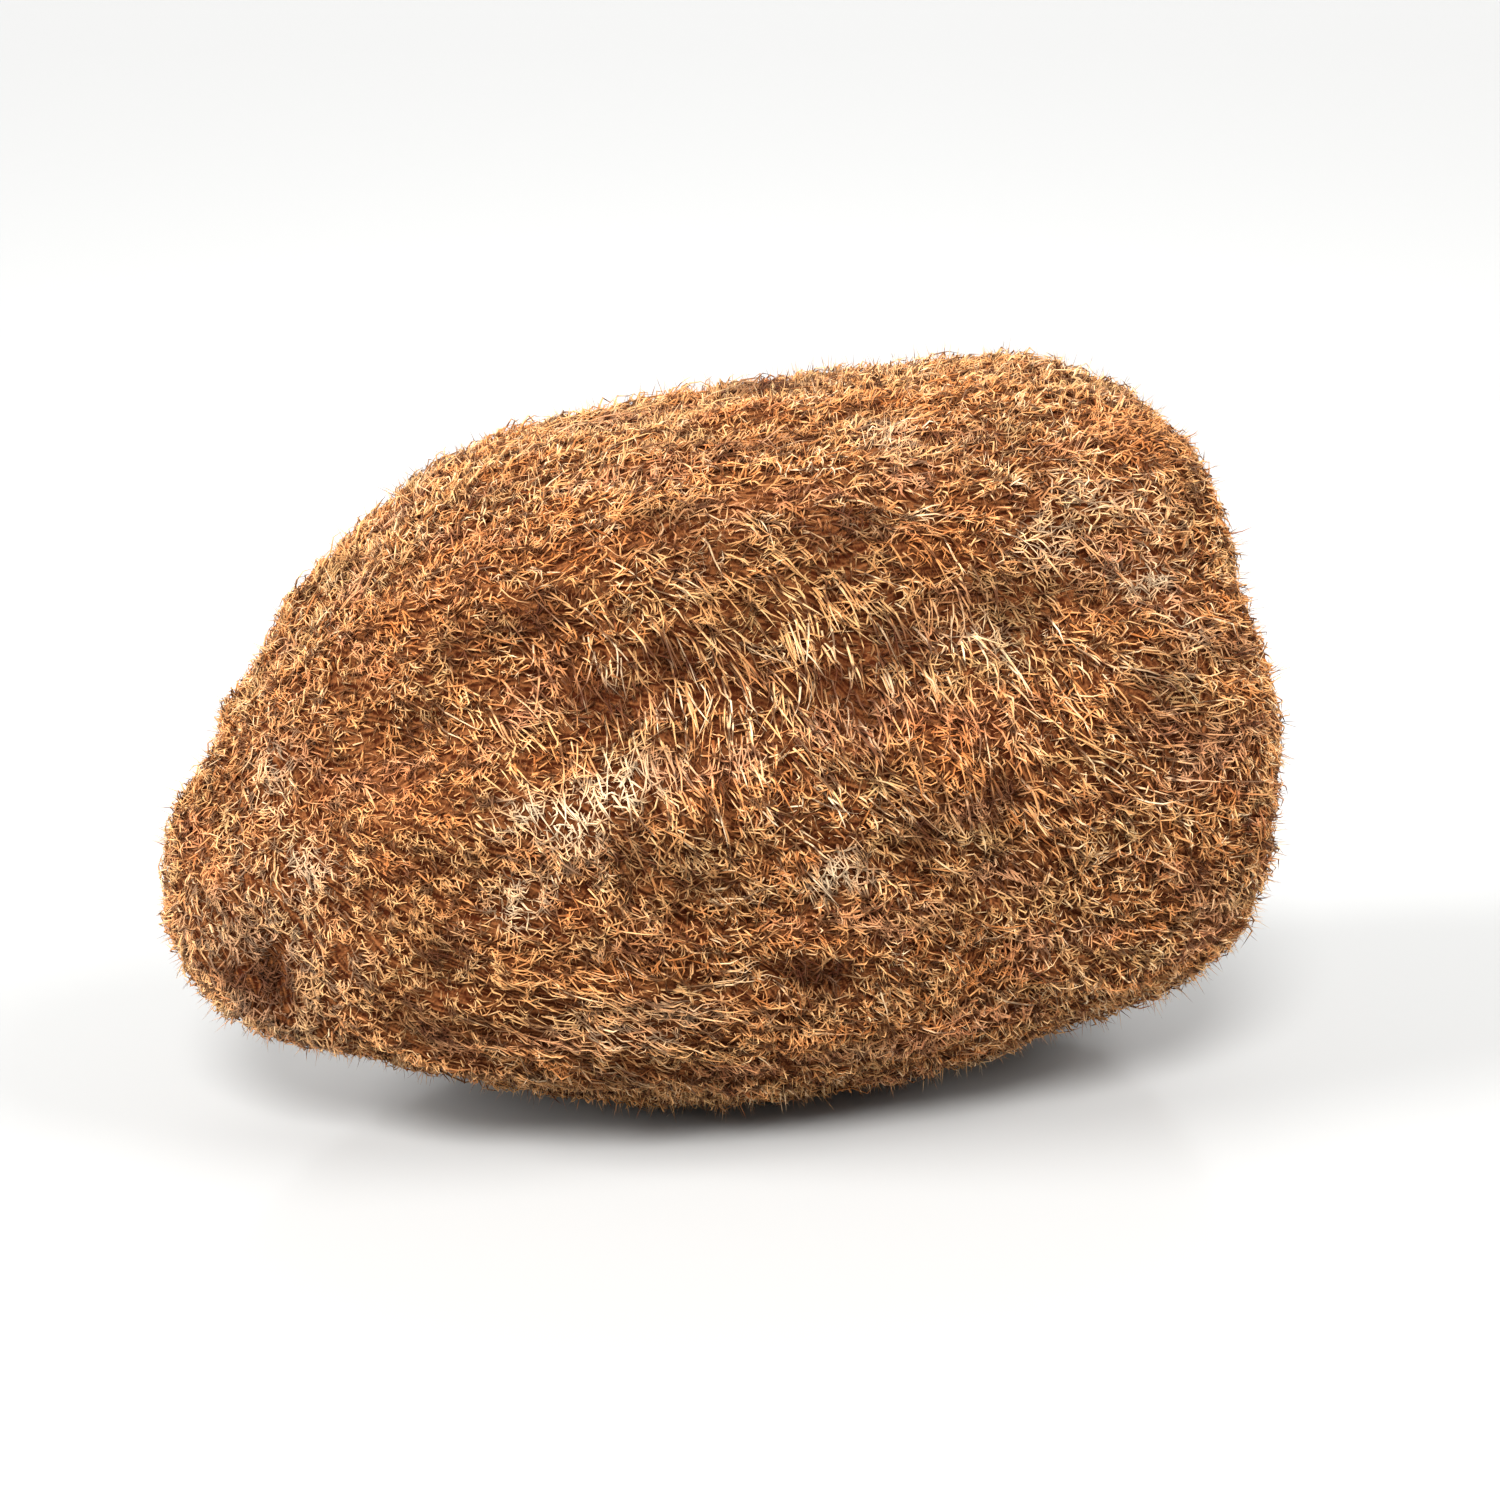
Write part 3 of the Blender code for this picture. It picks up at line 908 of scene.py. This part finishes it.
def drawn_out_noise(add, place, lie, width, length):
    """One fine noise, averaged along the lie of the coir, so that it shows as strands."""
    total = 0.0
    for step in range(STREAK_STEPS):
        offset = length * ((step + 0.5) / STREAK_STEPS - 0.5)
        moved = add("ShaderNodeVectorMath", {0: lie, 1: (offset,) * 3, 2: place}, operation="MULTIPLY_ADD")
        strand = add("ShaderNodeTexNoise", {"Vector": moved, "Scale": 1.0 / width, "Detail": 0.0})
        total = add("ShaderNodeMath", {0: strand, 1: 1.0 / STREAK_STEPS, 2: total}, operation="MULTIPLY_ADD")
    return total


def coir_colour(add, settings):
    """Colour of the fibres: each has its own tint, and the coat's patches shift them all. Painted shade
    darkens the roots, the gaps between the fibres, the dark patches and the grey along the furrows, and the
    pale patches on the ridges carry painted highlight.
    """
    given = {}
    for title in ("tint", "along", "pale", "grey", "russet", "dark"):
        given[title] = add("ShaderNodeAttribute", attribute_name=title).outputs["Fac"]
    ramp = add("ShaderNodeValToRGB", {"Fac": given["tint"]})
    stops = ramp.color_ramp.elements
    stops[0].color, stops[1].color = settings.dark, settings.straw
    stops.new(0.28).color = settings.russet
    stops.new(0.64).color = settings.tan
    colour = ramp.outputs["Color"]
    place = add("ShaderNodeTexCoord").outputs["Object"]
    heading = add("ShaderNodeAttribute", attribute_name="heading").outputs["Vector"]
    # Painted shade: this noise, drawn out along the fibres, darkens the gaps between them.
    gaps = drawn_out_noise(add, place, heading, GAP_WIDTH * MM, GAP_LENGTH * MM)
    # Broad streaks of colour, where the coir was torn, soaked and bleached unevenly.
    stretched = add("ShaderNodeVectorMath", {0: place, 1: (CLOUD_SHORTENED, 1.0, 1.0)}, operation="MULTIPLY")
    cloud = add("ShaderNodeTexNoise", {"Vector": stretched, "Scale": 1.0 / (CLOUD_SIZE * MM), "Detail": 2.0})
    cloud = add("ShaderNodeSeparateColor", {"Color": cloud.outputs["Color"]}).outputs
    # Each row: what brings a colour in, where it begins and is full, its greatest share, and the colour.
    for value, low, high, most, other in (
        (cloud["Red"], 0.52, 0.68, 0.6, settings.orange),
        (cloud["Green"], 0.52, 0.68, 0.6, settings.grey),
        (cloud["Blue"], 0.52, 0.68, 0.6, settings.rosy),
        (cloud["Red"], 0.46, 0.34, 0.4, settings.dark),
        # Grey patches: weathered coir, and painted shade along the furrows.
        (given["grey"], 0.0, 1.0, 0.8, settings.grey),
        (given["russet"], 0.0, 1.0, 0.7, settings.orange),
        # Painted shade: darker towards each fibre's root, where it lies down in the coat.
        (given["along"], 0.3, 0.0, 0.2, settings.dark),
        # Painted shade in the gaps between the fibres.
        (gaps, 0.49, 0.42, 0.85, settings.painted_shade),
        # Pale patches: pale coir, and painted highlight on the crests of the ridges.
        (given["pale"], 0.0, 1.0, 0.9, settings.straw),
        # Painted shade in the dark patches.
        (given["dark"], 0.0, 0.8, 0.9, settings.painted_shade),
    ):
        links = {"Value": value, "From Min": low, "From Max": high, "To Min": 0.0, "To Max": most}
        share = add("ShaderNodeMapRange", links)
        colour = add("ShaderNodeMix", {0: share, 6: colour, 7: other}, data_type="RGBA")
        colour = colour.outputs[2]
    return colour


def coir_fibre(settings):
    """Dry coir: a hard, dull plant fibre with a faint waxy gloss along each strand."""
    material, shader = new_material("dry coir fibre", roughness=0.65, ior=1.5, specular=0.15)
    colour = coir_colour(partial(add_node, material.node_tree), settings)
    material.node_tree.links.new(colour, shader.inputs["Base Color"])
    return material


def matted_coir(settings):
    """The mat under the fibres: packed coir and pith dust, with painted shade in its pits and quite without
    gloss.
    """
    material, shader = new_material("matted coir", roughness=0.95, ior=1.45, specular=0.05)
    tree = material.node_tree
    add = partial(add_node, tree)
    place = add("ShaderNodeTexCoord").outputs["Object"]
    lie = add("ShaderNodeAttribute", attribute_name="nap").outputs["Vector"]
    total = drawn_out_noise(add, place, lie, MAT_STRAND_WIDTH * MM, MAT_STRAND_LENGTH * MM)
    # Where the coir is combed, the painted shade in the gaps of the mat is darker.
    combed_here = add("ShaderNodeAttribute", attribute_name="combed").outputs["Fac"]
    brightest = add("ShaderNodeMath", {0: combed_here, 1: -COMBED_DARKER, 2: 1.0}, operation="MULTIPLY_ADD")
    links = {"Value": total, "From Min": 0.44, "From Max": 0.60, "To Max": brightest}
    streak = add("ShaderNodeMapRange", links)
    mixed = add("ShaderNodeMix", {0: streak, 6: settings.painted_shade, 7: settings.shallow}, data_type="RGBA")
    tree.links.new(mixed.outputs[2], shader.inputs["Base Color"])
    bump = add("ShaderNodeBump", {"Height": streak, "Strength": 0.8, "Distance": 0.4 * MM})
    tree.links.new(bump.outputs["Normal"], shader.inputs["Normal"])
    return material


# Each layer of fibres, from the mat outwards. Lengths are in millimetres and angles in degrees.
# Count is the number of roots before the gaps are left; felt and comb scale it on felt and where combed.
FIBRE_LAYERS = {
    "coir_combed": dict(
        heading="lie", count=37500, felt=0.02, comb=1.0, gaps=0.4, points=5, length=(4.5, 9.5),
        thickness=0.95, stray=12.0, curl=16.0, clump=5.0, clump_stray=36.0, sink=0.5, arch=1.2, lift=1.0,
        tint=(0.25, 0.9), seed=101,
    ),
    # Painted shade: the lowest felt draws darker tints than the felt above it.
    "coir_felt_low": dict(
        heading="nap", count=23200, felt=1.0, comb=0.3, gaps=0.8, points=3, length=(2.6, 5.4),
        thickness=1.1, stray=90.0, curl=50.0, clump=4.0, clump_stray=100.0, sink=0.3, arch=0.3, lift=-0.3,
        tint=(0.0, 0.5), seed=211,
    ),
    "coir_felt_mid": dict(
        heading="nap", count=33000, felt=1.0, comb=0.2, gaps=0.25, points=3, length=(2.2, 4.4),
        thickness=0.95, stray=45.0, curl=75.0, clump=3.5, clump_stray=90.0, sink=0.4, arch=0.7, lift=0.6,
        tint=(0.25, 0.75), seed=307,
    ),
    "coir_felt_top": dict(
        heading="nap", count=37500, felt=1.0, comb=0.15, gaps=0.12, points=3, length=(1.8, 3.8),
        thickness=0.85, stray=45.0, curl=85.0, clump=3.0, clump_stray=100.0, sink=0.4, arch=0.9, lift=1.3,
        tint=(0.35, 0.85), seed=401,
    ),
    "coir_fuzz": dict(
        heading="nap", count=69000, felt=1.0, comb=0.5, gaps=0.35, points=2, length=(0.5, 1.6),
        thickness=0.5, stray=180.0, curl=40.0, clump=3.0, clump_stray=60.0, sink=0.3, arch=0.0, lift=2.5,
        tint=(0.35, 0.85), seed=503,
    ),
    "coir_stiff": dict(
        heading="lie", count=700, felt=1.0, comb=1.0, gaps=1.0, points=4, length=(1.4, 3.5),
        thickness=0.75, stray=60.0, curl=50.0, clump=4.0, clump_stray=60.0, sink=0.4, arch=0.2, lift=3.2,
        tint=(-0.3, 0.1), seed=601,
    ),
}
LOCKS = dict(
    points=5, length=(4.0, 9.0), thickness=0.9, stray=20.0, curl=30.0, clump=4.0, clump_stray=40.0,
    sink=0.5, arch=0.9, lift=1.9, tint=(0.2, 1.0), seed=701,
)


def grow_values(layer, settings, material):
    """One layer's numbers, in metres and radians, by the names of the tree's inputs."""
    # The clumps' noise runs from -0.5 to 0.5, so their stray is doubled.
    return {
        "Points along": layer["points"],
        "Shortest": layer["length"][0] * MM,
        "Longest": layer["length"][1] * MM,
        "Diameter": layer["thickness"] * settings.diameter,
        "Stray": math.radians(layer["stray"]),
        "Curl": math.radians(layer["curl"]),
        "Clump size": layer["clump"] * MM,
        "Clump stray": math.radians(layer["clump_stray"]) * 2.0,
        "Sink": layer["sink"] * MM,
        "Arch": layer["arch"] * MM,
        "Lift": layer["lift"] * MM,
        "Pit size": PIT_SIZE * MM,
        "Pit depth": PIT_DEPTH * MM,
        "Darkest": layer["tint"][0],
        "Palest": layer["tint"][1],
        "Seed": layer["seed"],
        "Material": material,
    }


class COCONUT_OT_coat(bpy.types.Operator):
    """Builds the matted coat that stands for the solid nut"""

    bl_idname = "object.coconut_coat"
    bl_label = "Matted coat"

    def execute(self, context):
        settings = context.scene.coconut_coat
        depth, relief = settings.mat_depth / MM, settings.strand_relief / MM
        mesh = coat_mesh("coir_mat", settings.finest_level, depth, relief)
        mesh.materials.append(matted_coir(settings))
        piece = bpy.data.objects.new("coir_mat", mesh)
        context.scene.collection.objects.link(piece)
        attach(piece, BODY)
        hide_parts(NODE)
        return {"FINISHED"}


class COCONUT_OT_fibres(bpy.types.Operator):
    """Grows the layers of coir over the coat"""

    bl_idname = "object.coconut_fibres"
    bl_label = "Coir fibres"

    def execute(self, context):
        settings = context.scene.coconut_fibres
        coat = coat_mesh("coat", HOST_LEVEL, 0.0, 0.0)
        area = sum(face.area for face in coat.polygons)
        material = coir_fibre(settings)
        grow = grow_tree()
        tree = scatter_tree(grow)
        for name, layer in FIBRE_LAYERS.items():
            values = grow_values(layer, settings, material)
            values["Heading"] = layer["heading"]
            values["Density"] = layer["count"] * settings.amount / area
            values["Share on felt"] = layer["felt"]
            values["Share where combed"] = layer["comb"]
            values["Kept in gaps"] = layer["gaps"]
            grown_piece(name, coat, tree, values)
        host = bpy.data.objects.new("coat", coat)
        context.scene.collection.objects.link(host)
        values = grow_values(LOCKS, settings, material)
        values["Coat"] = host
        grown_piece("coir_locks", lock_roots(coat), lock_tree(grow), values)
        bpy.data.objects.remove(host)
        bpy.data.meshes.remove(coat)
        return {"FINISHED"}


class COCONUT_OT_studio(bpy.types.Operator):
    """Sets the pale table, the soft lights and the camera"""

    bl_idname = "object.coconut_studio"
    bl_label = "Studio"

    def execute(self, context):
        settings = context.scene.coconut_studio
        scene = context.scene
        # Low in gloss, so that it shows no more than a soft, dim image of the nut.
        material, shader = new_material("smooth white laminate", roughness=0.15, ior=1.5, specular=0.02)
        shader.inputs["Base Color"].default_value = settings.floor
        mesh = bpy.data.meshes.new("table")
        half = TABLE_HALF
        corners = [(-half, -half, 0.0), (half, -half, 0.0), (half, half, 0.0), (-half, half, 0.0)]
        mesh.from_pydata(corners, [], [(0, 1, 2, 3)])
        mesh.materials.append(material)
        table = bpy.data.objects.new("table", mesh)
        scene.collection.objects.link(table)

        world = bpy.data.worlds.new("white room")
        world.use_nodes = True
        add = partial(add_node, world.node_tree)
        background = world.node_tree.nodes["Background"]
        background.inputs["Color"].default_value = linear("FFFFFF")
        # The room's walls are brighter than its ceiling.
        height = add("ShaderNodeSeparateXYZ", {"Vector": add("ShaderNodeTexCoord")}).outputs["Z"]
        glow = add("ShaderNodeMapRange", {"Value": height, "To Min": WALL_GLOW, "To Max": CEILING_GLOW})
        world.node_tree.links.new(glow.outputs["Result"], background.inputs["Strength"])
        scene.world = world

        for name, azimuth, elevation, width, strength in SOFTBOXES:
            light = bpy.data.lights.new(name, "SUN")
            light.angle = math.radians(width)
            light.energy = strength
            lamp = bpy.data.objects.new(name, light)
            turned = Matrix.Rotation(math.radians(azimuth), 4, "Z")
            tilted = Matrix.Rotation(math.radians(90.0 - elevation), 4, "X")
            lamp.matrix_world = Matrix.Translation((0.0, 0.0, 1.0)) @ turned @ tilted
            scene.collection.objects.link(lamp)

        back = Vector(
            (
                math.sin(settings.azimuth) * math.cos(settings.elevation),
                -math.cos(settings.azimuth) * math.cos(settings.elevation),
                math.sin(settings.elevation),
            )
        )
        camera = bpy.data.cameras.new("camera")
        camera.lens = CAMERA_LENS
        camera.sensor_width = CAMERA_SENSOR
        viewer = bpy.data.objects.new("camera", camera)
        viewer.location = Vector(CAMERA_TARGET) * MM + back * settings.distance
        viewer.rotation_mode = "QUATERNION"
        viewer.rotation_quaternion = back.to_track_quat("Z", "Y")
        scene.collection.objects.link(viewer)
        scene.camera = viewer
        scene.view_settings.view_transform = "Standard"
        return {"FINISHED"}


class COCONUT_PT_panel(bpy.types.Panel):
    """Settings and steps, in the order in which they are run"""

    bl_label = "Coconut"
    bl_idname = "COCONUT_PT_panel"
    bl_space_type = "VIEW_3D"
    bl_region_type = "UI"
    bl_category = "Coconut"

    def draw(self, context):
        for step, group in STEPS:
            box = self.layout.box()
            settings = getattr(context.scene, group)
            for title in settings.__annotations__:
                box.prop(settings, title)
            box.operator(step)


STEPS = (
    ("object.coconut_coat", "coconut_coat"),
    ("object.coconut_fibres", "coconut_fibres"),
    ("object.coconut_studio", "coconut_studio"),
)
SETTINGS = {"coconut_coat": CoatSettings, "coconut_fibres": FibreSettings, "coconut_studio": StudioSettings}
CLASSES = (
    CoatSettings,
    FibreSettings,
    StudioSettings,
    COCONUT_OT_coat,
    COCONUT_OT_fibres,
    COCONUT_OT_studio,
    COCONUT_PT_panel,
)


def register():
    for thing in CLASSES:
        bpy.utils.register_class(thing)
    for title, kind in SETTINGS.items():
        setattr(bpy.types.Scene, title, PointerProperty(type=kind))


def unregister():
    for title in SETTINGS:
        delattr(bpy.types.Scene, title)
    for thing in reversed(CLASSES):
        bpy.utils.unregister_class(thing)


def main():
    register()
    bpy.ops.object.coconut_coat()
    bpy.ops.object.coconut_fibres()
    bpy.ops.object.coconut_studio()


if __name__ == "__main__":
    main()
